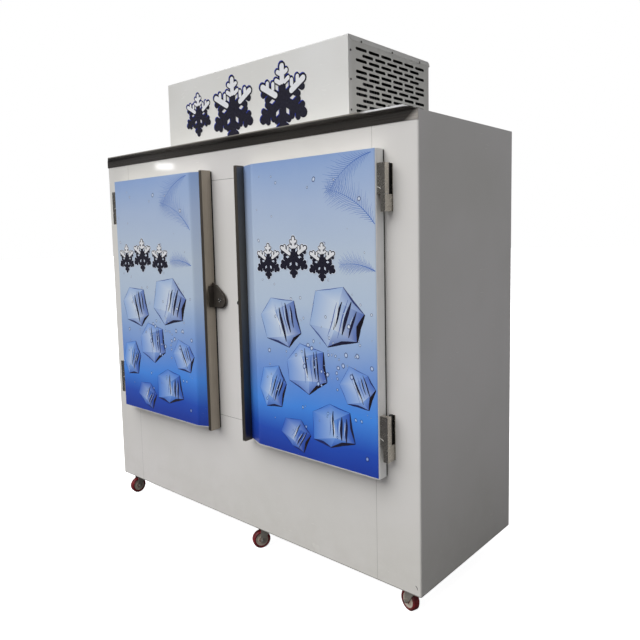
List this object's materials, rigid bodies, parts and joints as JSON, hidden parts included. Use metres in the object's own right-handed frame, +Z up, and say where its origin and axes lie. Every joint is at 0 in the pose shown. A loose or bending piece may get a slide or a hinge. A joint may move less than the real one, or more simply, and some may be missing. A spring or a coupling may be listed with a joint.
{
  "type": "bagged ice merchandiser freezer",
  "caption": "Upright bagged ice freezer on swivel casters, with insulated swing doors, edge pulls, lift-off hinges, a padlock hasp, a drip rail and a vented hood over its cooling unit.",
  "frame": {"origin": "on the floor under the middle of the part's bounding box, at the bottom of the wheels", "axes": "+Z up, doors face -Y, +X to the right of someone facing the doors"},
  "size_m": [1.83, 0.7444, 2.052],
  "materials": {
    "white_enamel": "gloss",
    "door_print": "gloss",
    "white_liner": "satin",
    "stainless": "polished",
    "grey_sheet": "satin",
    "black_enamel": "satin",
    "black_plastic": "satin",
    "coil_fins": "satin",
    "gasket_rubber": "matte",
    "bright_zinc": "polished",
    "zinc_plate": "satin",
    "red_wheel": "gloss"
  },
  "bodies": {
    "cabinet": {"base_tray": "grey_sheet", "left_wall": "white_enamel", "right_wall": "white_enamel", "back_wall": "white_enamel", "roof_panel": "white_enamel", "floor_panel": "white_enamel", "top_fascia": "white_enamel", "bottom_fascia": "white_enamel", "mullion": "white_enamel", "inner_liner": "white_liner", "left_throat": "white_liner", "right_throat": "white_liner", "drip_rail": "stainless", "hood_cover": "white_enamel", "left_vent_panel": "grey_sheet", "right_vent_panel": "grey_sheet", "rear_grille": "grey_sheet", "cord_gland": "black_plastic", "unit_base": "grey_sheet", "compressor": "black_enamel", "condenser_coil": "coil_fins", "fan_shroud": "black_enamel", "control_box": "grey_sheet", "evaporator": "white_enamel", "floor_rack": "grey_sheet", "left_upper_hinge_base": "bright_zinc", "left_lower_hinge_base": "bright_zinc", "right_upper_hinge_base": "bright_zinc", "right_lower_hinge_base": "bright_zinc", "frame_hasp": "stainless"},
    "left_leaf": {"left_door": "door_print", "left_door_liner": "white_liner", "left_gasket": "gasket_rubber", "left_pull": "stainless", "left_upper_hinge_leaf": "bright_zinc", "left_lower_hinge_leaf": "bright_zinc", "door_hasp": "stainless"},
    "right_leaf": {"right_door": "door_print", "right_door_liner": "white_liner", "right_gasket": "gasket_rubber", "right_pull": "stainless", "right_upper_hinge_leaf": "bright_zinc", "right_lower_hinge_leaf": "bright_zinc", "lock_stud": "bright_zinc"},
    "front_left_swivel": {"front_left_fork": "zinc_plate"},
    "front_middle_swivel": {"front_middle_fork": "zinc_plate"},
    "front_right_swivel": {"front_right_fork": "zinc_plate"},
    "rear_left_swivel": {"rear_left_fork": "zinc_plate"},
    "rear_middle_swivel": {"rear_middle_fork": "zinc_plate"},
    "rear_right_swivel": {"rear_right_fork": "zinc_plate"},
    "front_left_roller": {"front_left_wheel": "red_wheel"},
    "front_middle_roller": {"front_middle_wheel": "red_wheel"},
    "front_right_roller": {"front_right_wheel": "red_wheel"},
    "rear_left_roller": {"rear_left_wheel": "red_wheel"},
    "rear_middle_roller": {"rear_middle_wheel": "red_wheel"},
    "rear_right_roller": {"rear_right_wheel": "red_wheel"},
    "condenser_rotor": {"condenser_fan": "black_plastic"},
    "evaporator_rotor": {"evaporator_fan": "black_plastic"}
  },
  "joints": [
    {"name": "left_door_swing", "type": "hinge", "parent": "cabinet", "child": "left_leaf", "pos_m": [-0.806, -0.34835, 0.501], "axis": [0, 0, -1], "range_deg": [0, 110]},
    {"name": "right_door_swing", "type": "hinge", "parent": "cabinet", "child": "right_leaf", "pos_m": [0.806, -0.34835, 0.501], "axis": [0, 0, 1], "range_deg": [0, 110]},
    {"name": "front_left_caster_swivel", "type": "hinge", "parent": "cabinet", "child": "front_left_swivel", "pos_m": [-0.849, -0.25585, 0.08], "axis": [0, 0, 1], "continuous": true},
    {"name": "front_middle_caster_swivel", "type": "hinge", "parent": "cabinet", "child": "front_middle_swivel", "pos_m": [0.1, -0.25585, 0.08], "axis": [0, 0, 1], "continuous": true},
    {"name": "front_right_caster_swivel", "type": "hinge", "parent": "cabinet", "child": "front_right_swivel", "pos_m": [0.849, -0.25585, 0.08], "axis": [0, 0, 1], "continuous": true},
    {"name": "rear_left_caster_swivel", "type": "hinge", "parent": "cabinet", "child": "rear_left_swivel", "pos_m": [-0.795, 0.31215, 0.08], "axis": [0, 0, 1], "continuous": true},
    {"name": "rear_middle_caster_swivel", "type": "hinge", "parent": "cabinet", "child": "rear_middle_swivel", "pos_m": [0.1, 0.31215, 0.08], "axis": [0, 0, 1], "continuous": true},
    {"name": "rear_right_caster_swivel", "type": "hinge", "parent": "cabinet", "child": "rear_right_swivel", "pos_m": [0.795, 0.31215, 0.08], "axis": [0, 0, 1], "continuous": true},
    {"name": "front_left_wheel_spin", "type": "hinge", "parent": "front_left_swivel", "child": "front_left_roller", "pos_m": [-0.85092, -0.27777, 0.0375], "axis": [-0.9962, 0.0872, 0], "continuous": true},
    {"name": "front_middle_wheel_spin", "type": "hinge", "parent": "front_middle_swivel", "child": "front_middle_roller", "pos_m": [0.08967, -0.27527, 0.0375], "axis": [-0.8829, 0.4695, 0], "continuous": true},
    {"name": "front_right_wheel_spin", "type": "hinge", "parent": "front_right_swivel", "child": "front_right_roller", "pos_m": [0.82802, -0.24923, 0.0375], "axis": [0.3007, 0.9537, 0], "continuous": true},
    {"name": "rear_left_wheel_spin", "type": "hinge", "parent": "rear_left_swivel", "child": "rear_left_roller", "pos_m": [-0.8018, 0.29123, 0.0375], "axis": [-0.9511, 0.309, 0], "continuous": true},
    {"name": "rear_middle_wheel_spin", "type": "hinge", "parent": "rear_middle_swivel", "child": "rear_middle_roller", "pos_m": [0.09847, 0.2902, 0.0375], "axis": [-0.9976, 0.0698, 0], "continuous": true},
    {"name": "rear_right_wheel_spin", "type": "hinge", "parent": "rear_right_swivel", "child": "rear_right_roller", "pos_m": [0.795, 0.29015, 0.0375], "axis": [-1, 0, 0], "continuous": true},
    {"name": "condenser_fan_spin", "type": "hinge", "parent": "cabinet", "child": "condenser_rotor", "pos_m": [0.2668, 0.0834, 1.8666], "axis": [1, 0, 0], "continuous": true},
    {"name": "evaporator_fan_spin", "type": "hinge", "parent": "cabinet", "child": "evaporator_rotor", "pos_m": [0, 0.00755, 1.5719], "axis": [0, -1, 0], "continuous": true}
  ]
}
